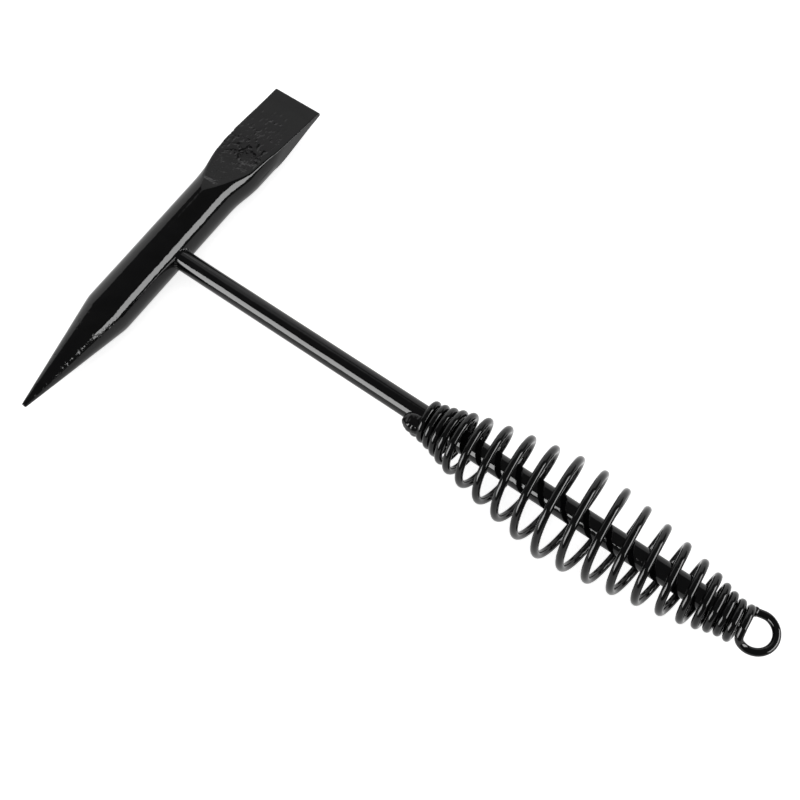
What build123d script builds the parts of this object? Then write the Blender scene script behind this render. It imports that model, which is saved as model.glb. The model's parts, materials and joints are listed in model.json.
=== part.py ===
from build123d import *
from math import asin, atan2, cos, hypot, pi, sin
import os

# A welder's chipping hammer, lying on its side. The head is a forged steel bar with a conical point
# at one end and a flat chisel at the other. A round shank is let into the middle of the bar and
# runs back through a barrel-shaped coil spring, which is the grip. The spring's wire ends in a loop
# to hang the hammer by.
#
# The sizes below are given in the hammer's own frame: "station" runs along the shank from the head
# bar's axis towards the loop, "across" runs along the head towards the chisel, and "up" is square
# to both. All sizes are in millimetres.

# ---- head ----
bar_diameter = 20.2
point_reach = 86.5
point_length = 50.0
point_tip_diameter = 2.2
point_tip_rounding = 0.8
chisel_reach = 89.0
chisel_edge_width = 24.6
chisel_edge_thickness = 1.6
blade_start = 27.0
shoulder_reach = 50.0
shoulder_width = 22.4
shoulder_thickness = 11.6
socket_depth = 15.0

# ---- shank ----
shank_diameter = 9.0
shank_end_chamfer = 0.8
shank_end_inset = 2.4
socket_clearance = 0.05

# ---- spring grip, one wire with its hanging loop ----
wire_diameter = 3.1
spring_start = 132.65
turns = 20.9375
lead_turns = 0.625
end_coil_radius = 6.65
belly_coil_radius = 19.4
belly_turn = 10.2
tail_closed_turns = 1.35
coil_offset = 0.5
close_pitch = 3.6
open_pitch = 8.9
belly_extra_pitch = 1.5
front_close_turns = 3.7
front_opening_turns = 3.3
rear_close_turns = 2.85
rear_closing_turns = 3.8
points_per_turn = 16
pitch_steps = 4
weld_cut_points = 30

# How fast the barrel swells: the slope of each end's curve where it leaves the closed coils, and
# where it meets the belly.
front_swell_start = 0.2
front_swell_finish = 1.2
rear_swell_start = 0.4
rear_swell_finish = 0.7

# ---- hanging loop, bent from the tail of the same wire ----
# The bend from the last coil into the loop has two points. Each is a share of the bend's reach
# along the shank, of the loop's half width, and of the coil end's height.
loop_half_width = 7.0
loop_leg_length = 3.0
loop_plane_lift = 0.3
loop_bend_reach = 3.2
loop_arc_points = 9
loop_bend_shares = ((0.2, 0.84, 0.62), (0.6, 0.97, 0.28))
loop_tail_tuck = 0.8
loop_end_gap = 0.3

# ---- welds ----
head_weld_width = 2.0
head_weld_length = 3.2
spring_weld_length = 9.0
spring_weld_width = 6.6
spring_weld_inset = 0.8
spring_weld_across = 5.0
spring_weld_up = 2.8
shank_weld_diameter = 5.0
shank_weld_drop = 4.6
loop_weld_length = 3.4
loop_weld_width = 4.2

bar_radius = bar_diameter / 2
shank_radius = shank_diameter / 2
wire_radius = wire_diameter / 2


def swell(share, start_slope, finish_slope):
    """Rise from 0 to 1 as share runs from 0 to 1, with the given slope at each end."""
    rise = 3 * share**2 - 2 * share**3
    from_start = start_slope * (share**3 - 2 * share**2 + share)
    to_finish = finish_slope * (share**3 - share**2)
    return rise + from_start + to_finish


def ease(share):
    """Rise smoothly from 0 to 1, level at both ends, and hold outside them."""
    held = min(max(share, 0), 1)
    return 3 * held**2 - 2 * held**3


def belly_share(turn):
    """0 in the closed end coils, 1 in the widest coil."""
    if turn < belly_turn:
        return swell(turn / belly_turn, front_swell_start, front_swell_finish)
    tail_turns = turns - tail_closed_turns - belly_turn
    left = max(turns - tail_closed_turns - turn, 0) / tail_turns
    return swell(left, rear_swell_start, rear_swell_finish)


def coil_radius(turn):
    """The wire's distance from the spring's axis."""
    return end_coil_radius + (belly_coil_radius - end_coil_radius) * belly_share(turn)


def coil_pitch(turn):
    """How far the wire advances per turn: closed at both ends and open between."""
    opening = ease((turn - front_close_turns) / front_opening_turns)
    closing = ease((turns - rear_close_turns - turn) / rear_closing_turns)
    open_gain = open_pitch - close_pitch + belly_extra_pitch * belly_share(turn) ** 3
    return close_pitch + opening * closing * open_gain


def coil_centres():
    """Points along the wire's centre in the hammer's frame, from the shank weld to the loop."""
    centres = []
    station = spring_start
    step = 1 / (points_per_turn * pitch_steps)
    for count in range(int(turns * points_per_turn) + 1):
        turn = count / points_per_turn
        angle = 2 * pi * (turn - lead_turns)
        radius = coil_radius(turn)
        centres.append((station, radius * cos(angle) - coil_offset, radius * sin(angle)))
        for part_step in range(pitch_steps):
            station += coil_pitch(turn + (part_step + 0.5) * step) * step
    return centres


def resting_slope(centre):
    """The shank's slope when the head bar and the wire at this point both touch the ground."""
    reach = hypot(centre[0], centre[2])
    return atan2(-centre[2], centre[0]) - asin((bar_radius - wire_radius) / reach)


# The hammer rests on the head bar and on the widest coil, so the shank climbs slightly from the
# head. The origin is under the middle of the hammer, on the surface it lies on.
coils = coil_centres()
coil_end = coils[-1]
last_top = max(coils[-points_per_turn:], key=lambda centre: centre[1])
shank_slope = max(resting_slope(centre) for centre in coils)
loop_centre = coil_end[0] + wire_radius + loop_leg_length
hammer_reach = loop_centre + loop_half_width + wire_radius
middle_station = (hammer_reach * cos(shank_slope) - chisel_edge_width / 2) / 2
middle_across = (chisel_reach - point_reach) / 2

hammer = Plane(
    origin=(-middle_station, -middle_across, bar_radius),
    x_dir=(cos(shank_slope), 0, sin(shank_slope)),
    z_dir=(-sin(shank_slope), 0, cos(shank_slope)),
)


def place(station, across, up):
    """A point of the hammer's own frame, where it lies in the part's frame."""
    return hammer.from_local_coords((station, across, up))


def square_to_shank(station):
    """The plane across the shank at a station, facing the loop."""
    return Plane(origin=place(station, 0, 0), x_dir=hammer.y_dir, z_dir=hammer.x_dir)


def square_to_head(across):
    """The plane across the head bar, facing the chisel, with its X away from the loop."""
    return Plane(origin=place(0, across, 0), x_dir=-hammer.x_dir, z_dir=hammer.y_dir)


# Through the head's axis and square to the shank: X runs towards the chisel, Y up.
head_side = Plane(origin=place(0, 0, 0), x_dir=hammer.y_dir, z_dir=hammer.x_dir)
head_axis = Axis(origin=place(0, 0, 0), direction=hammer.y_dir)

# Through both axes, facing up: X runs towards the chisel, Y away from the loop.
head_plan = Plane(origin=place(0, 0, 0), x_dir=hammer.y_dir, z_dir=hammer.z_dir)

# The chisel from its shoulder to its edge. Its two flats are planes that close up towards the edge,
# and it spreads as it thins, so it ends wider than the bar.
with BuildPart() as blade:
    with BuildSketch(head_side):
        with BuildLine():
            Polyline(
                (shoulder_reach, shoulder_thickness / 2),
                (chisel_reach, chisel_edge_thickness / 2),
                (chisel_reach, -chisel_edge_thickness / 2),
                (shoulder_reach, -shoulder_thickness / 2),
                close=True,
            )
        make_face()
    extrude(amount=chisel_edge_width, both=True)
    with BuildSketch(head_plan):
        with BuildLine():
            Polyline(
                (shoulder_reach, shoulder_width / 2),
                (chisel_reach, chisel_edge_width / 2),
                (chisel_reach, -chisel_edge_width / 2),
                (shoulder_reach, -shoulder_width / 2),
                close=True,
            )
        make_face()
    extrude(amount=shoulder_thickness, both=True, mode=Mode.INTERSECT)

# The head. The point and the bar are turned, and the bar is drawn out flat into the chisel.
with BuildPart() as head:
    with BuildSketch(head_side):
        with BuildLine():
            Polyline(
                (-point_reach, 0),
                (-point_reach, point_tip_diameter / 2),
                (point_length - point_reach, bar_radius),
                (blade_start, bar_radius),
                (blade_start, 0),
                close=True,
            )
        make_face()
    revolve(axis=head_axis)
    tip_edge = head.edges().filter_by(GeomType.CIRCLE).sort_by(SortBy.RADIUS)[0]
    fillet(tip_edge, point_tip_rounding)
    with BuildSketch(square_to_head(blade_start)):
        Circle(bar_radius)
    with BuildSketch(square_to_head(shoulder_reach)):
        Rectangle(shoulder_width, shoulder_thickness)
    loft()
    add(blade.part)
    with BuildSketch(square_to_shank(bar_radius - socket_depth)):
        Circle(shank_radius + socket_clearance)
    extrude(amount=2 * socket_depth, mode=Mode.SUBTRACT)


# The shank. A plain round rod, pressed into the head's socket and ending just inside the last coil.
shank_start = bar_radius - socket_depth
shank_end = coil_end[0] - shank_end_inset
with BuildPart() as shank:
    with BuildSketch(square_to_shank(shank_start)):
        Circle(shank_radius)
    extrude(amount=shank_end - shank_start)
    end_rims = shank.edges().filter_by(GeomType.CIRCLE)
    chamfer(end_rims, shank_end_chamfer)

# The grip. One wire wound up and down a barrel shape, close at both ends and open between. After
# its last coil it turns along the shank, goes round the hanging loop, and stops against the last
# coil on the other side.
loop_bend = []
for along, out, raised in loop_bend_shares:
    station = coil_end[0] + along * loop_bend_reach
    loop_bend.append((station, -out * loop_half_width, raised * coil_end[2]))
loop_arc = []
for count in range(loop_arc_points):
    angle = pi * (count / (loop_arc_points - 1) - 0.5)
    station = loop_centre + loop_half_width * cos(angle)
    loop_arc.append((station, loop_half_width * sin(angle), loop_plane_lift))
loop_tail = (last_top[0] + wire_radius + loop_end_gap, loop_half_width - loop_tail_tuck, loop_plane_lift)
wire_centres = [place(*centre) for centre in coils + loop_bend + loop_arc + [loop_tail]]
with BuildPart() as grip_spring:
    with BuildLine() as wire_run:
        wire_line = Spline(*wire_centres)
    with BuildSketch(Plane(origin=wire_line @ 0, z_dir=wire_line % 0)):
        Circle(wire_radius)
    sweep(path=wire_run.wires()[0], is_frenet=True)

# Each end of the same wire on its own, to shape the welds that it is sunk in.
with BuildPart() as wire_start:
    with BuildLine() as start_run:
        start_line = Spline(*wire_centres[:weld_cut_points])
    with BuildSketch(Plane(origin=start_line @ 0, z_dir=start_line % 0)):
        Circle(wire_radius)
    sweep(path=start_run.wires()[0], is_frenet=True)

with BuildPart() as wire_finish:
    with BuildLine() as finish_run:
        finish_line = Spline(*wire_centres[len(coils) - weld_cut_points :])
    with BuildSketch(Plane(origin=finish_line @ 0, z_dir=finish_line % 0)):
        Circle(wire_radius)
    sweep(path=finish_run.wires()[0], is_frenet=True)


# The fillet weld round the shank where it leaves the head.
with BuildPart() as head_weld:
    with BuildSketch(Plane(origin=place(0, 0, 0), x_dir=hammer.x_dir, z_dir=-hammer.y_dir)):
        with BuildLine():
            Polyline(
                (bar_radius - head_weld_length, shank_radius),
                (bar_radius - head_weld_length, shank_radius + 2 * head_weld_width),
                (bar_radius, shank_radius + head_weld_width),
                (bar_radius + head_weld_length, shank_radius),
                close=True,
            )
        make_face()
    revolve(axis=Axis(origin=place(0, 0, 0), direction=hammer.x_dir))
    add(head.part, mode=Mode.SUBTRACT)

# The weld that fixes the wire's first end to the side of the shank: a lump with the wire sunk in it.
spring_weld_centre = place(spring_start - spring_weld_inset, -spring_weld_across, spring_weld_up)
with BuildPart() as front_spring_weld:
    with BuildSketch(Plane(origin=spring_weld_centre, x_dir=hammer.x_dir, z_dir=-hammer.z_dir)):
        SlotOverall(spring_weld_length, spring_weld_width)
        Rectangle(
            spring_weld_length, spring_weld_width, align=(Align.CENTER, Align.MAX), mode=Mode.SUBTRACT
        )
    revolve(axis=Axis(origin=spring_weld_centre, direction=hammer.x_dir))
    add(shank.part, mode=Mode.SUBTRACT)
    add(wire_start.part, mode=Mode.SUBTRACT)

# The weld that fixes the shank's far end to the last coil, under the shank.
with BuildPart() as rear_spring_weld:
    with Locations(place(shank_end, 0, -shank_weld_drop)):
        Sphere(shank_weld_diameter / 2)
    add(shank.part, mode=Mode.SUBTRACT)
    add(wire_finish.part, mode=Mode.SUBTRACT)

# The weld that closes the hanging loop: the wire's cut end is joined to the side of the last coil.
loop_weld_centre = place(loop_tail[0] - loop_end_gap / 2, loop_tail[1], loop_tail[2])
with BuildPart() as loop_weld:
    with BuildSketch(Plane(origin=loop_weld_centre, x_dir=hammer.x_dir, z_dir=hammer.z_dir)):
        Ellipse(loop_weld_length / 2, loop_weld_width / 2)
        Rectangle(
            loop_weld_length, loop_weld_width, align=(Align.CENTER, Align.MAX), mode=Mode.SUBTRACT
        )
    revolve(axis=Axis(origin=loop_weld_centre, direction=hammer.x_dir))
    add(wire_finish.part, mode=Mode.SUBTRACT)

head.part.label = "head"
shank.part.label = "shank"
grip_spring.part.label = "grip_spring"
head_weld.part.label = "head_weld"
front_spring_weld.part.label = "front_spring_weld"
rear_spring_weld.part.label = "rear_spring_weld"
loop_weld.part.label = "loop_weld"

os.makedirs("parts", exist_ok=True)
export_step(head.part, "parts/head.step")
export_step(shank.part, "parts/shank.step")
export_step(grip_spring.part, "parts/grip_spring.step")
export_step(head_weld.part, "parts/head_weld.step")
export_step(front_spring_weld.part, "parts/front_spring_weld.step")
export_step(rear_spring_weld.part, "parts/rear_spring_weld.step")
export_step(loop_weld.part, "parts/loop_weld.step")
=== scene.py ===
"""A welder's chipping hammer on its side: forged head, round shank and coil-spring grip."""

import json
from math import cos, exp, pi, radians, sin

import bmesh
import bpy
import numpy as np
from mathutils import Matrix, Vector, noise


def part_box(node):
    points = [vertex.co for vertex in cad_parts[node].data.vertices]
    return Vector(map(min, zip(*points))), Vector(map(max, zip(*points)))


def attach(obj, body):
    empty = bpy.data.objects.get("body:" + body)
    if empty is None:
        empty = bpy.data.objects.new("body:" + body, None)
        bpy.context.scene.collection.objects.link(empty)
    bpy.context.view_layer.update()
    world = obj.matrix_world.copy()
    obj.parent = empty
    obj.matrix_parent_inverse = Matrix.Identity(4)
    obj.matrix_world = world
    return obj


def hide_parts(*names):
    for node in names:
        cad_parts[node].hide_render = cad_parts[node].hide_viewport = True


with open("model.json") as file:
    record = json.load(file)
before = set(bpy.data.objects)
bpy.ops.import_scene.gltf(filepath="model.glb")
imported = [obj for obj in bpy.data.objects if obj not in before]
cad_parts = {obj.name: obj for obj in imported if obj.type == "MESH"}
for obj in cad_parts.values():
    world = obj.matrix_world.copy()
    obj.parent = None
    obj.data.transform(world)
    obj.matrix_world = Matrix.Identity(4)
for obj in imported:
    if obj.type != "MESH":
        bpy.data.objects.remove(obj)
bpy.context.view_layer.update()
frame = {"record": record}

# ---------------------------------------------------------------------------------- head
# The head is one forged steel bar. One end is ground to a round point and the other is drawn
# out hot into a flat chisel, which leaves its root rippled and pitted. The whole hammer is
# dipped in glossy black enamel.

MM = 0.001

# The hammer's own axes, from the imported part: along the shank, across it towards the chisel, up.
loop_mount = next(m for m in frame["record"]["mounts"] if m["name"] == "hanging_loop")
up_axis = Vector(loop_mount["axis"]).normalized()
across_axis = Vector((0, 1, 0))
along_axis = across_axis.cross(up_axis)
head_low, head_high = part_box("head")
shank_low, shank_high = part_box("shank")
crossing = Vector(
    (
        (head_low.x + head_high.x) / 2,
        (shank_low.y + shank_high.y) / 2,
        (head_low.z + head_high.z) / 2,
    )
)
hammer_axes = Matrix((along_axis, across_axis, up_axis)).transposed()
hammer_place = Matrix.Translation(crossing) @ hammer_axes.to_4x4()

bar_radius = 10.1
point_reach = 86.5
chisel_reach = 89.0
head_sides = 200
head_step = 0.55
point_rounding = [-86.5, -86.42, -86.3, -86.1, -85.8]
edge_rounding = [88.6, 88.8, 88.93, 89.0]
section_softening = 5
ring_softening = 2

# Distance along the head, half thickness, then for the side away from the loop and for the side
# towards it: how far it stands out, and how tall its round is. A tall round is nearly flat.
head_shape = np.array(
    [
        (-86.5, 0.75, 0.75, 0.75, 0.75, 0.75),
        (-86.4, 0.95, 0.95, 0.95, 0.95, 0.95),
        (-86.1, 1.1, 1.1, 1.1, 1.1, 1.1),
        (-37.2, 9.93, 9.93, 9.93, 9.93, 9.93),
        (-35.6, 10.08, 10.08, 10.08, 10.08, 10.08),
        (28.0, 10.1, 10.1, 10.1, 10.1, 10.1),
        (31.0, 9.5, 10.1, 10.1, 10.15, 10.1),
        (34.0, 8.75, 10.15, 10.3, 10.3, 10.15),
        (38.0, 7.85, 10.35, 10.9, 10.95, 10.3),
        (42.0, 6.95, 10.75, 12.5, 11.8, 10.5),
        (46.0, 6.14, 11.2, 15.0, 12.25, 10.8),
        (50.0, 5.72, 11.55, 20.0, 12.3, 11.0),
        (54.0, 5.4, 11.75, 28.0, 12.3, 11.2),
        (58.0, 4.95, 11.85, 36.0, 12.2, 12.0),
        (62.0, 4.46, 11.9, 44.0, 12.1, 20.0),
        (72.0, 3.04, 12.0, 60.0, 12.05, 60.0),
        (82.0, 1.6, 12.15, 60.0, 12.15, 60.0),
        (88.6, 0.86, 12.3, 60.0, 12.3, 60.0),
        (89.0, 0.6, 12.15, 60.0, 12.15, 60.0),
    ]
)


def quarter_of(thickness, width, tall, count):
    """A quarter of a cross-section: half a flat, then a round side, as evenly spaced points."""
    side_points, flat_points = 80, 40
    start = np.arcsin(min(thickness / tall, 1.0))
    side = np.linspace(start, 0, side_points)
    flat = np.linspace(0, width * cos(start), flat_points)[:-1]
    out = np.concatenate((flat, width * np.cos(side)))
    up = np.concatenate((np.full(len(flat), thickness), tall * np.sin(side)))
    run = np.concatenate(([0], np.cumsum(np.hypot(np.diff(out), np.diff(up)))))
    even = np.linspace(0, run[-1], count + 1)
    return np.column_stack((np.interp(even, run, out), np.interp(even, run, up)))


def ring_of(thickness, away, away_tall, near, near_tall, count):
    """One whole cross-section of the head, from the side towards the loop and over the top."""
    right = quarter_of(thickness, near, near_tall, count // 4)
    left = quarter_of(thickness, away, away_tall, count // 4)
    return np.vstack(
        (
            right[::-1][:-1],
            (left * (-1, 1))[:-1],
            (left[::-1] * (-1, -1))[:-1],
            (right * (1, -1))[:-1],
        )
    )


def skin_rings(name, rings):
    """A closed skin over a row of rings with equal counts of points, its two ends shut by fans."""
    mesh = bmesh.new()
    rows = [[mesh.verts.new(point) for point in ring] for ring in rings]
    for one, two in zip(rows, rows[1:]):
        for i in range(len(one)):
            j = (i + 1) % len(one)
            mesh.faces.new((one[i], one[j], two[j], two[i]))
    for row in (rows[0], rows[-1]):
        middle = mesh.verts.new(sum((v.co for v in row), Vector()) / len(row))
        for i in range(len(row)):
            mesh.faces.new((row[i], row[(i + 1) % len(row)], middle))
    bmesh.ops.recalc_face_normals(mesh, faces=mesh.faces)
    data = bpy.data.meshes.new(name)
    mesh.to_mesh(data)
    mesh.free()
    return data


def settle(name, data, material, node):
    """Turn a mesh in the hammer's own millimetres into a piece that stands for a CAD node."""
    data.transform(hammer_place @ Matrix.Scale(MM, 4))
    data.materials.clear()
    data.materials.append(material)
    data.shade_smooth()
    piece = bpy.data.objects.new(name, data)
    bpy.context.scene.collection.objects.link(piece)
    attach(piece, "root")
    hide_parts(node)


def hump(value, low, high, soft):
    """1 between low and high, fading to 0 over soft outside them."""
    rise = np.clip((value - low) / soft + 1, 0, 1)
    fall = np.clip((high - value) / soft + 1, 0, 1)
    return rise * rise * (3 - 2 * rise) * fall * fall * (3 - 2 * fall)


# Where forging has left its marks, each as from, to and the width of its fade: the chisel's root,
# its blade and the point are places along the head, and the flat is a place across it.
root_marks = (51, 57, 4)
blade_marks = (52, 76, 5)
cone_marks = (-78, -40, 5)
flat_marks = (-20, 7.5, 3)
pit_depths = {"root": 0.26, "blade": 0.16, "cone": 0.02}
ripple_depths = {"root": 0.16, "blade": 0.05}
sway_depth = 0.04
pit_threshold = 0.12

# Dents in the upper flat: place along the shank and along the head, depth, and how wide the
# dent spreads each way, squared.
dents = [(5, 51.5, 0.5, 36, 16), (-3, 66, 0.12, 9, 5), (6, 71, 0.1, 6, 6)]


def roughen(point):
    """How far forging has set the surface in at a point of the head, in millimetres."""
    along, across, up = point
    slow = noise.noise(Vector(point) / 9.0)
    waves = noise.noise(Vector((along / 2.6, across / 1.5, up / 2.6)) + Vector((7, 3, 1)))
    pits = noise.noise(Vector(point) / 1.1 + Vector((2, 9, 4)))
    on_flat = hump(along, *flat_marks)
    root = hump(across, *root_marks) * on_flat
    blade = hump(across, *blade_marks) * on_flat
    cone = hump(across, *cone_marks)
    pitted = pit_depths["root"] * root + pit_depths["blade"] * blade + pit_depths["cone"] * cone
    depth = sway_depth * (1 + slow)
    depth += ripple_depths["root"] * root * (1 + waves)
    depth += ripple_depths["blade"] * blade * (0.5 + waves * 0.5)
    depth += pitted * max(pits - pit_threshold, 0) * 2
    if up > 0:
        for dent_along, dent_across, dent_depth, spread_along, spread_across in dents:
            off = (along - dent_along) ** 2 / spread_along
            off += (across - dent_across) ** 2 / spread_across
            depth += dent_depth * exp(-off)
    return depth


fine = np.arange(-point_reach + 1.0, chisel_reach - 0.6, head_step)
fine = fine[fine > point_rounding[-1] + 0.1]
stations = np.concatenate((point_rounding, fine, edge_rounding))
knots = head_shape[:, 0]
sections = np.column_stack([np.interp(stations, knots, column) for column in head_shape.T[1:]])
for _ in range(section_softening):
    sections[7:-6] = (sections[6:-7] + 2 * sections[7:-6] + sections[8:-5]) / 4
head_rings = []
for across, (thick, away, away_tall, near, near_tall) in zip(stations, sections):
    ring = ring_of(thick, away, max(away_tall, thick), near, max(near_tall, thick), head_sides)
    for _ in range(ring_softening):
        ring = (np.roll(ring, 1, axis=0) + 2 * ring + np.roll(ring, -1, axis=0)) / 4
    points = []
    for x, z in ring:
        reach = max(np.hypot(x, z), 0.01)
        inward = min(roughen((x, across, z)), reach * 0.1) / reach
        points.append((x * (1 - inward), across, z * (1 - inward)))
    head_rings.append(points)


def math_node(tree, operation, *values):
    """A Math node with its inputs set or linked, and its result."""
    node = tree.nodes.new("ShaderNodeMath")
    node.operation = operation
    for socket, value in zip(node.inputs, values):
        if isinstance(value, bpy.types.NodeSocket):
            tree.links.new(value, socket)
        else:
            socket.default_value = value
    return node.outputs[0]


def noise_node(tree, vector, scale, detail=2.0, roughness=0.5):
    """Noise over the piece in metres, so a scale of 1000 has one cell to a millimetre."""
    node = tree.nodes.new("ShaderNodeTexNoise")
    node.inputs["Scale"].default_value = scale
    node.inputs["Detail"].default_value = detail
    node.inputs["Roughness"].default_value = roughness
    tree.links.new(vector, node.inputs["Vector"])
    return node.outputs["Fac"]


def bump_node(tree, height, distance, under=None):
    """A bump of a real depth in metres, laid over another if one is given."""
    node = tree.nodes.new("ShaderNodeBump")
    node.inputs["Strength"].default_value = 1.0
    node.inputs["Distance"].default_value = distance
    tree.links.new(height, node.inputs["Height"])
    if under is not None:
        tree.links.new(under, node.inputs["Normal"])
    return node.outputs["Normal"]


def black_enamel(name, peel, grain, base_low, base_high, rough_low, rough_high):
    """Glossy black enamel: orange peel over fine dust grain, with a slightly uneven gloss."""
    material = bpy.data.materials.new(name)
    material.use_nodes = True
    tree = material.node_tree
    shader = tree.nodes["Principled BSDF"]
    shader.inputs["Metallic"].default_value = 0.0
    shader.inputs["IOR"].default_value = 1.38
    place = tree.nodes.new("ShaderNodeTexCoord").outputs["Object"]
    cloud = noise_node(tree, place, 160, 4.0)
    colour = tree.nodes.new("ShaderNodeValToRGB")
    colour.color_ramp.elements[0].position = 0.35
    colour.color_ramp.elements[0].color = (*base_low, 1)
    colour.color_ramp.elements[1].position = 0.68
    colour.color_ramp.elements[1].color = (*base_high, 1)
    tree.links.new(cloud, colour.inputs["Fac"])
    tree.links.new(colour.outputs["Color"], shader.inputs["Base Color"])
    gloss = tree.nodes.new("ShaderNodeMapRange")
    gloss.inputs["From Min"].default_value = 0.3
    gloss.inputs["From Max"].default_value = 0.7
    gloss.inputs["To Min"].default_value = rough_low
    gloss.inputs["To Max"].default_value = rough_high
    tree.links.new(noise_node(tree, place, 420, 3.0), gloss.inputs["Value"])
    tree.links.new(gloss.outputs["Result"], shader.inputs["Roughness"])
    skin = bump_node(tree, noise_node(tree, place, 330, 2.0), peel)
    skin = bump_node(tree, noise_node(tree, place, 2300, 2.0), grain, skin)
    tree.links.new(skin, shader.inputs["Normal"])
    return material


def band(tree, value, low, high, soft):
    """A smooth mask, 1 between two places and 0 outside them."""
    masks = []
    for start, stop in ((low - soft, low), (high + soft, high)):
        node = tree.nodes.new("ShaderNodeMapRange")
        node.interpolation_type = "SMOOTHSTEP"
        node.inputs["From Min"].default_value = start
        node.inputs["From Max"].default_value = stop
        tree.links.new(value, node.inputs["Value"])
        masks.append(node.outputs["Result"])
    return math_node(tree, "MULTIPLY", *masks)


head_paint = black_enamel(
    "head_enamel",
    peel=0.00005,
    grain=0.000004,
    base_low=(0.002, 0.002, 0.0022),
    base_high=(0.004, 0.004, 0.0043),
    rough_low=0.025,
    rough_high=0.06,
)

# Scale pits under the enamel, thick on the chisel's root and thin on the point.
pit_scale = 520
pit_cut = 0.57
pit_depth = 0.0007
tree = head_paint.node_tree
shader = tree.nodes["Principled BSDF"]
place = tree.nodes["Texture Coordinate"].outputs["Object"]
enamel_skin = shader.inputs["Normal"].links[0].from_socket
split = tree.nodes.new("ShaderNodeSeparateXYZ")
tree.links.new(place, split.inputs["Vector"])
pits = math_node(tree, "SUBTRACT", noise_node(tree, place, pit_scale, 3.0, 0.55), pit_cut)
pits = math_node(tree, "MAXIMUM", pits, 0.0)
on_blade = band(tree, split.outputs["Y"], 0.051, 0.059, 0.012)
on_flat = band(tree, split.outputs["X"], crossing.x - 0.012, crossing.x + 0.008, 0.002)
on_cone = band(tree, split.outputs["Y"], -0.082, -0.040, 0.004)
on_root = math_node(tree, "MULTIPLY", on_blade, on_flat)
pitted = math_node(tree, "ADD", on_root, math_node(tree, "MULTIPLY", on_cone, 0.5))
sunk = math_node(tree, "MULTIPLY", pits, math_node(tree, "MULTIPLY", pitted, -1.0))
pitted_skin = bump_node(tree, sunk, pit_depth, enamel_skin)
tree.links.new(pitted_skin, shader.inputs["Normal"])

settle("head", skin_rings("head", head_rings), head_paint, "head")

# ---------------------------------------------------------------------------------- shank
# The shank is a drawn steel rod pressed into a socket in the head. It runs right through the
# grip and stops just inside the last coil, with both ends chamfered.

shank_radius = 4.5
shank_start = -4.9
shank_end = 269.5
shank_chamfer = 0.8
shank_sides = 96
shank_steps = 260
shank_sway = 0.02

shank_paint = black_enamel(
    "shank_enamel",
    peel=0.00004,
    grain=0.000004,
    base_low=(0.002, 0.002, 0.0022),
    base_high=(0.004, 0.004, 0.0043),
    rough_low=0.025,
    rough_high=0.06,
)
chamfered = shank_radius - shank_chamfer
shank_runs = [(shank_start, chamfered), (shank_start + shank_chamfer, shank_radius)]
for station in np.linspace(shank_start + 2, shank_end - 2, shank_steps):
    shank_runs.append((station, shank_radius))
shank_runs += [(shank_end - shank_chamfer, shank_radius), (shank_end, chamfered)]
shank_rings = []
for station, radius in shank_runs:
    ring = []
    for i in range(shank_sides):
        turned = 2 * pi * i / shank_sides
        where = Vector((station / 14, cos(turned) * 1.5, sin(turned) * 1.5))
        reach = radius - shank_sway * (1 + noise.noise(where))
        ring.append((station, reach * cos(turned), reach * sin(turned)))
    shank_rings.append(ring)
settle("shank", skin_rings("shank", shank_rings), shank_paint, "shank")

# ---------------------------------------------------------------------------------- head weld
# A small fillet weld runs round the shank where it enters the bar, laid in short overlapping
# ripples and painted over with the rest.

weld_width = 1.3
weld_run = 1.7
weld_steps = 12
weld_sides = 208
weld_ripples = 26
ripple_height = 0.10
ripple_lag = 2.2
weld_sway = 0.25
under_shank = 0.35
under_bar = 0.25

weld_paint = black_enamel(
    "weld_enamel",
    peel=0.00009,
    grain=0.000006,
    base_low=(0.002, 0.002, 0.0022),
    base_high=(0.0045, 0.0045, 0.0048),
    rough_low=0.04,
    rough_high=0.09,
)
weld_rows = []
for step in range(weld_steps + 1):
    share = step / weld_steps
    row = []
    for i in range(weld_sides):
        turned = 2 * pi * i / weld_sides
        lag = ripple_lag * sin(pi * share)
        ripple = ripple_height * sin(turned * weld_ripples + lag) * sin(pi * share)
        uneven = weld_sway * noise.noise(Vector((cos(turned) * 1.4, sin(turned) * 1.4, 3)))
        out = shank_radius - under_shank
        out = out + (weld_width + uneven + under_shank) * (1 - share) ** 1.5 + ripple * 0.5
        on_bar = (bar_radius**2 - min((out * sin(turned)) ** 2, 90)) ** 0.5
        ahead = on_bar - under_bar + (weld_run + uneven) * share**1.5 + ripple * 0.5
        row.append((min(ahead, on_bar + weld_run), out * cos(turned), out * sin(turned)))
    weld_rows.append(row)
toe = [(x - 1.4, y * 0.72, z * 0.72) for x, y, z in weld_rows[0]]
crown = [(x - 0.2, y * 0.93, z * 0.93) for x, y, z in weld_rows[-1]]
fillet = skin_rings("head_weld", [toe] + weld_rows + [crown])
settle("head_weld", fillet, weld_paint, "head_weld")

# ---------------------------------------------------------------------------------- grip spring
# The grip is one steel wire wound up and down a barrel, closed at both ends and open between,
# so that air cools it. Its tail is bent straight on into the hanging loop, and it is dipped in
# the same black enamel.

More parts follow.
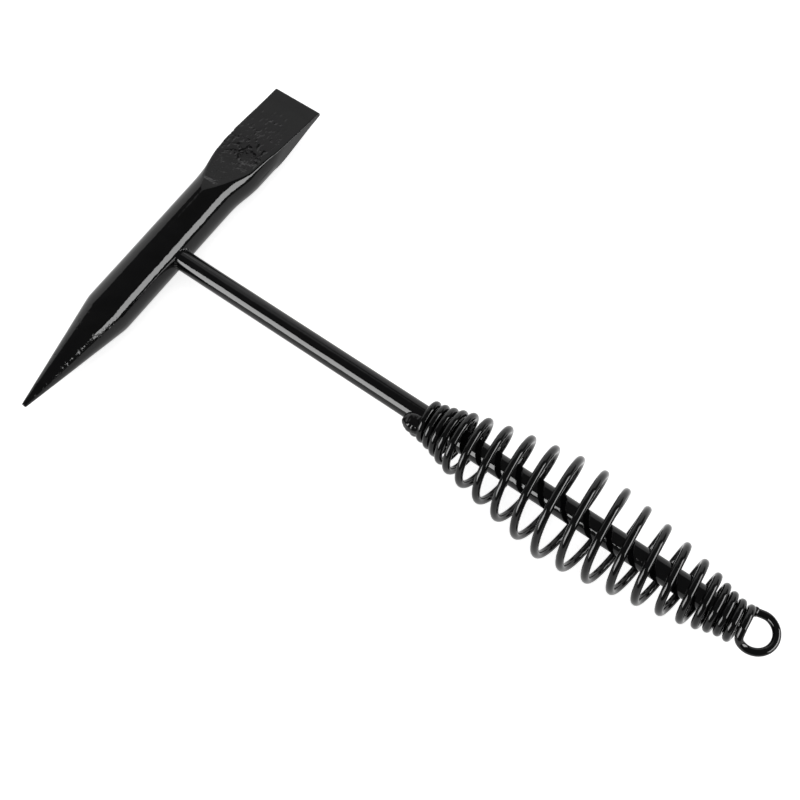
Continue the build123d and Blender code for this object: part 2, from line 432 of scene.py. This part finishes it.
# The winding, in millimetres and in turns counted from the front end of the wire.
wire = {
    "Wire Radius": 1.55,
    "Spring Start": 132.65,
    "Turns": 20.9375,
    "Lead Turns": 0.625,
    "End Coil Radius": 6.65,
    "Belly Coil Radius": 19.4,
    "Belly Turn": 10.2,
    "Tail Closed Turns": 1.35,
    "Coil Offset": 0.5,
    "Close Pitch": 3.6,
    "Open Pitch": 8.9,
    "Belly Extra Pitch": 1.5,
    "Front Close Turns": 3.7,
    "Front Opening Turns": 3.3,
    "Rear Close Turns": 2.85,
    "Rear Closing Turns": 3.8,
    "Front Swell Start": 0.2,
    "Front Swell Finish": 1.2,
    "Rear Swell Start": 0.4,
    "Rear Swell Finish": 0.7,
    "Points Per Turn": 64.0,
}
coil_points = int(wire["Turns"] * wire["Points Per Turn"]) + 1
wire_sides = 20

# The last two places on the coil, then the loop that follows them.
loop_lift = 0.3
coil_before = Vector((271.68, -5.05, 4.79))
coil_end = Vector((271.903, -3.045, 6.144))
loop_centre = 276.453
loop_half_width = 7.0
loop_tail = Vector((272.628, 6.2, 0.3))

group = bpy.data.node_groups.new("barrel_spring", "GeometryNodeTree")
group.interface.new_socket("Tail", in_out="INPUT", socket_type="NodeSocketGeometry")
for name, size in wire.items():
    socket = group.interface.new_socket(name, in_out="INPUT", socket_type="NodeSocketFloat")
    socket.default_value = size
group.interface.new_socket("Coil Points", in_out="INPUT", socket_type="NodeSocketInt")
group.interface.new_socket("Tail Points", in_out="INPUT", socket_type="NodeSocketInt")
group.interface.new_socket("Sides", in_out="INPUT", socket_type="NodeSocketInt")
group.interface.new_socket("Paint", in_out="INPUT", socket_type="NodeSocketMaterial")
group.interface.new_socket("Spring", in_out="OUTPUT", socket_type="NodeSocketGeometry")
given = group.nodes.new("NodeGroupInput").outputs
made = group.nodes.new("NodeGroupOutput").inputs


def calc(operation, *values):
    """A Math node in the spring's own group."""
    return math_node(group, operation, *values)


def swell(share, slope_start, slope_finish):
    """Rises from 0 to 1 with a slope of its own at each end."""
    square = calc("MULTIPLY", share, share)
    cube = calc("MULTIPLY", square, share)
    rise = calc("SUBTRACT", calc("MULTIPLY", square, 3.0), calc("MULTIPLY", cube, 2.0))
    lead = calc("ADD", calc("SUBTRACT", cube, calc("MULTIPLY", square, 2.0)), share)
    lead = calc("MULTIPLY", lead, slope_start)
    land = calc("MULTIPLY", calc("SUBTRACT", cube, square), slope_finish)
    return calc("ADD", rise, calc("ADD", lead, land))


def belly_share(turn):
    """0 in the closed end coils and 1 in the widest one."""
    gone = calc("DIVIDE", turn, given["Belly Turn"])
    front = swell(gone, given["Front Swell Start"], given["Front Swell Finish"])
    closed = calc("SUBTRACT", given["Turns"], given["Tail Closed Turns"])
    left = calc("MAXIMUM", calc("SUBTRACT", closed, turn), 0.0)
    left = calc("DIVIDE", left, calc("SUBTRACT", closed, given["Belly Turn"]))
    rear = swell(left, given["Rear Swell Start"], given["Rear Swell Finish"])
    before = calc("LESS_THAN", turn, given["Belly Turn"])
    after = calc("SUBTRACT", 1.0, before)
    return calc("ADD", calc("MULTIPLY", before, front), calc("MULTIPLY", after, rear))


def ease(value):
    """Rises smoothly from 0 to 1 and holds outside."""
    node = group.nodes.new("ShaderNodeMapRange")
    node.interpolation_type = "SMOOTHSTEP"
    group.links.new(value, node.inputs["Value"])
    return node.outputs["Result"]


def coil_pitch(turn):
    """How far the wire advances in a turn."""
    past = calc("SUBTRACT", turn, given["Front Close Turns"])
    opening = ease(calc("DIVIDE", past, given["Front Opening Turns"]))
    left = calc("SUBTRACT", calc("SUBTRACT", given["Turns"], given["Rear Close Turns"]), turn)
    closing = ease(calc("DIVIDE", left, given["Rear Closing Turns"]))
    extra = calc("MULTIPLY", given["Belly Extra Pitch"], calc("POWER", belly_share(turn), 3.0))
    widest = calc("ADD", calc("SUBTRACT", given["Open Pitch"], given["Close Pitch"]), extra)
    gap = calc("MULTIPLY", calc("MULTIPLY", opening, closing), widest)
    return calc("ADD", given["Close Pitch"], gap)


run = group.nodes.new("GeometryNodeMeshLine")
group.links.new(calc("ADD", given["Coil Points"], given["Tail Points"]), run.inputs["Count"])
index = group.nodes.new("GeometryNodeInputIndex").outputs["Index"]
turn = calc("DIVIDE", index, given["Points Per Turn"])
half_on = calc("ADD", turn, calc("DIVIDE", 0.5, given["Points Per Turn"]))
advance = group.nodes.new("GeometryNodeAccumulateField")
stride = calc("DIVIDE", coil_pitch(half_on), given["Points Per Turn"])
group.links.new(stride, advance.inputs["Value"])
station = calc("ADD", given["Spring Start"], advance.outputs["Trailing"])
growth = calc("SUBTRACT", given["Belly Coil Radius"], given["End Coil Radius"])
reach = calc("ADD", given["End Coil Radius"], calc("MULTIPLY", growth, belly_share(turn)))
wound_by = calc("MULTIPLY", calc("SUBTRACT", turn, given["Lead Turns"]), 2 * pi)
on_coil = group.nodes.new("ShaderNodeCombineXYZ")
group.links.new(station, on_coil.inputs["X"])
sideways = calc("MULTIPLY", reach, calc("COSINE", wound_by))
group.links.new(calc("SUBTRACT", sideways, given["Coil Offset"]), on_coil.inputs["Y"])
group.links.new(calc("MULTIPLY", reach, calc("SINE", wound_by)), on_coil.inputs["Z"])
on_tail = group.nodes.new("GeometryNodeSampleIndex")
on_tail.data_type = "FLOAT_VECTOR"
on_tail.clamp = True
group.links.new(given["Tail"], on_tail.inputs["Geometry"])
position = group.nodes.new("GeometryNodeInputPosition").outputs["Position"]
group.links.new(position, on_tail.inputs["Value"])
group.links.new(calc("SUBTRACT", index, given["Coil Points"]), on_tail.inputs["Index"])
pick = group.nodes.new("GeometryNodeSwitch")
pick.input_type = "VECTOR"
past_coils = calc("GREATER_THAN", index, calc("SUBTRACT", given["Coil Points"], 0.5))
group.links.new(past_coils, pick.inputs["Switch"])
group.links.new(on_coil.outputs["Vector"], pick.inputs["False"])
group.links.new(on_tail.outputs["Value"], pick.inputs["True"])
laid = group.nodes.new("GeometryNodeSetPosition")
group.links.new(run.outputs["Mesh"], laid.inputs["Geometry"])
group.links.new(pick.outputs["Output"], laid.inputs["Position"])
centre_line = group.nodes.new("GeometryNodeMeshToCurve")
group.links.new(laid.outputs["Geometry"], centre_line.inputs["Mesh"])
section = group.nodes.new("GeometryNodeCurvePrimitiveCircle")
group.links.new(given["Sides"], section.inputs["Resolution"])
group.links.new(given["Wire Radius"], section.inputs["Radius"])
tube = group.nodes.new("GeometryNodeCurveToMesh")
tube.inputs["Fill Caps"].default_value = True
group.links.new(centre_line.outputs["Curve"], tube.inputs["Curve"])
group.links.new(section.outputs["Curve"], tube.inputs["Profile Curve"])
real = group.nodes.new("GeometryNodeRealizeInstances")
group.links.new(tube.outputs["Mesh"], real.inputs["Geometry"])
painted = group.nodes.new("GeometryNodeSetMaterial")
group.links.new(real.outputs["Geometry"], painted.inputs["Geometry"])
group.links.new(given["Paint"], painted.inputs["Material"])
group.links.new(painted.outputs["Geometry"], made["Spring"])

# The tail: a bend off the last coil, the loop, and the end tucked against the coil.
bend = [
    coil_end + Vector((0.64, -2.835, -2.335)),
    coil_end + Vector((1.92, -3.745, -4.424)),
]
arc_steps = 8
arc = []
for count in range(arc_steps + 1):
    swung = pi * (count / arc_steps - 0.5)
    forward, side = loop_half_width * cos(swung), loop_half_width * sin(swung)
    arc.append(Vector((loop_centre + forward, side, loop_lift)))
tucked = [loop_tail, loop_tail + Vector((-0.5, -0.15, 0))]
corners = [coil_before, coil_end] + bend + arc + tucked
corner_steps = 8
tail = []
for before, one, two, after in zip(corners, corners[1:], corners[2:], corners[3:]):
    for step in range(1, corner_steps + 1):
        t = step / corner_steps
        tail.append(
            0.5
            * (
                2 * one
                + (two - before) * t
                + (2 * before - 5 * one + 4 * two - after) * t**2
                + (3 * one - before - 3 * two + after) * t**3
            )
        )

wire_paint = black_enamel(
    "wire_enamel",
    peel=0.000012,
    grain=0.000003,
    base_low=(0.002, 0.002, 0.0022),
    base_high=(0.0045, 0.0045, 0.0048),
    rough_low=0.03,
    rough_high=0.075,
)
tail_line = bpy.data.meshes.new("tail_line")
tail_line.from_pydata(tail, [(i, i + 1) for i in range(len(tail) - 1)], [])
winder = bpy.data.objects.new("winder", tail_line)
bpy.context.scene.collection.objects.link(winder)
winding = winder.modifiers.new("winding", "NODES")
winding.node_group = group
sockets = {item.name: item.identifier for item in group.interface.items_tree}
for name, size in wire.items():
    winding[sockets[name]] = size
winding[sockets["Coil Points"]] = coil_points
winding[sockets["Tail Points"]] = len(tail)
winding[sockets["Sides"]] = wire_sides
winding[sockets["Paint"]] = wire_paint
bpy.context.view_layer.update()
depsgraph = bpy.context.evaluated_depsgraph_get()
wound = bpy.data.meshes.new_from_object(winder.evaluated_get(depsgraph))
bpy.data.objects.remove(winder)

# The tube's faces are turned outwards.
tube_skin = bmesh.new()
tube_skin.from_mesh(wound)
bmesh.ops.recalc_face_normals(tube_skin, faces=tube_skin.faces)
tube_skin.to_mesh(wound)
tube_skin.free()
settle("grip_spring", wound, wire_paint, "grip_spring")

# ---------------------------------------------------------------------------------- spring welds
# Three short welds hold the wire: a lump that fixes its first end to the side of the shank, a
# bead under the shank's far end, and a bead that closes the loop against the last coil.


def weld_lump(node, middle, half, lumpiness, subdivisions):
    """A solidified pool of weld metal: a rounded lump with wandering sides and faint ripples."""
    shape = bmesh.new()
    bmesh.ops.create_icosphere(shape, subdivisions=subdivisions, radius=1.0)
    for vert in shape.verts:
        d = vert.co.normalized()
        bulge = 1 - 0.10 * (1 + noise.noise(d * 1.6 + Vector(middle))) * lumpiness
        ripple = 1 - 0.012 * (1 + sin(d.x * 17 + 3 * noise.noise(d * 2)))
        out = Vector((d.x * half[0], d.y * half[1], d.z * half[2]))
        vert.co = Vector(middle) + out * bulge * ripple
    bmesh.ops.recalc_face_normals(shape, faces=shape.faces)
    data = bpy.data.meshes.new(node)
    shape.to_mesh(data)
    shape.free()
    settle(node, data, weld_paint, node)


weld_lump("front_spring_weld", (132.4, -5.2, 2.9), (5.6, 4.4, 4.2), 1.0, 5)
weld_lump("rear_spring_weld", (shank_end, 0, -4.6), (2.5, 2.5, 2.5), 0.6, 4)
weld_lump("loop_weld", (272.48, 6.2, 0.3), (1.7, 2.1, 2.1), 0.6, 4)

# ---------------------------------------------------------------------------------- studio
# The hammer lies on a pale floor in a plain white studio with a dim ceiling. Two bright panels
# make the sharp highlights, three dim ones the grey sheen, and an overhead light fills the rest.

floor_data = bpy.data.meshes.new("floor")
floor_reach = 6
floor_corners = [(-1, -1), (1, -1), (1, 1), (-1, 1)]
floor_corners = [(floor_reach * x, floor_reach * y, 0) for x, y in floor_corners]
floor_data.from_pydata(floor_corners, [], [(0, 1, 2, 3)])
floor = bpy.data.objects.new("floor", floor_data)
bpy.context.scene.collection.objects.link(floor)
floor.location.z = -0.0002
floor_paint = bpy.data.materials.new("floor_paper")
floor_paint.use_nodes = True
paper = floor_paint.node_tree.nodes["Principled BSDF"]
paper.inputs["Base Color"].default_value = (0.88, 0.88, 0.88, 1)
paper.inputs["Roughness"].default_value = 0.9
paper.inputs["Specular IOR Level"].default_value = 0.0
paper.inputs["Emission Color"].default_value = (1, 1, 1, 1)
glow = floor_paint.node_tree.nodes.new("ShaderNodeMapRange")
glow.inputs["To Min"].default_value = 0.5
glow.inputs["To Max"].default_value = 0.78
sight = floor_paint.node_tree.nodes.new("ShaderNodeLightPath")
floor_paint.node_tree.links.new(sight.outputs["Is Camera Ray"], glow.inputs["Value"])
floor_paint.node_tree.links.new(glow.outputs["Result"], paper.inputs["Emission Strength"])
floor_data.materials.append(floor_paint)


def panel(name, azimuth, elevation, width, height, radiance, reflected, diffuse, distance=1.6):
    """A soft panel facing the hammer. Angles are in degrees, and so are its width and height."""
    wide = 2 * distance * np.tan(radians(width / 2))
    tall = 2 * distance * np.tan(radians(height / 2))
    light = bpy.data.lights.new(name, "AREA")
    light.shape = "RECTANGLE"
    light.size = wide
    light.size_y = tall
    light.energy = radiance * pi * wide * tall
    lamp = bpy.data.objects.new(name, light)
    a, e = radians(azimuth), radians(elevation)
    away = Vector((cos(a) * cos(e), sin(a) * cos(e), sin(e)))
    lamp.location = away * distance
    lamp.rotation_euler = away.to_track_quat("Z", "Y").to_euler()
    lamp.visible_glossy = reflected
    lamp.visible_diffuse = diffuse
    lamp.visible_camera = False
    bpy.context.scene.collection.objects.link(lamp)


# Name, direction, width, height and radiance, then whether it is reflected and whether it lights
# the surfaces, and how far off it stands if that is not the usual distance.
panel("ring_side_panel", 19, 25.7, 58, 25, 11.3, True, False)
panel("point_side_panel", 244, 24.5, 32, 38, 12.0, True, False)
panel("far_low_panel", 160, 17, 58, 34, 1.05, True, True)
panel("side_low_panel", 106, 17, 50, 34, 0.9, True, True)
panel("far_high_panel", 137, 43, 20, 23, 0.62, True, True, 1.75)
panel("overhead_fill", 0, 90, 90, 90, 0.6, False, True)

world = bpy.data.worlds.new("studio")
bpy.context.scene.world = world
world.use_nodes = True
air = world.node_tree
ceiling = air.nodes["Background"]
ceiling.inputs["Color"].default_value = (0.15, 0.15, 0.15, 1)
backdrop = air.nodes.new("ShaderNodeBackground")
backdrop.inputs["Color"].default_value = (0.9, 0.9, 0.9, 1)
seen = air.nodes.new("ShaderNodeLightPath")
choose = air.nodes.new("ShaderNodeMixShader")
air.links.new(seen.outputs["Is Camera Ray"], choose.inputs["Fac"])
air.links.new(ceiling.outputs["Background"], choose.inputs[1])
air.links.new(backdrop.outputs["Background"], choose.inputs[2])
air.links.new(choose.outputs["Shader"], air.nodes["World Output"].inputs["Surface"])

lens = bpy.data.cameras.new("camera")
lens.lens = 56.0
lens.sensor_width = 36.0
lens.clip_start = 0.01
camera = bpy.data.objects.new("camera", lens)
camera.location = (0.10579, -0.13610, 0.46063)
camera.rotation_euler = (radians(22.111), radians(2.132), radians(36.543))
bpy.context.scene.collection.objects.link(camera)
bpy.context.scene.camera = camera
bpy.context.scene.view_settings.view_transform = "Standard"
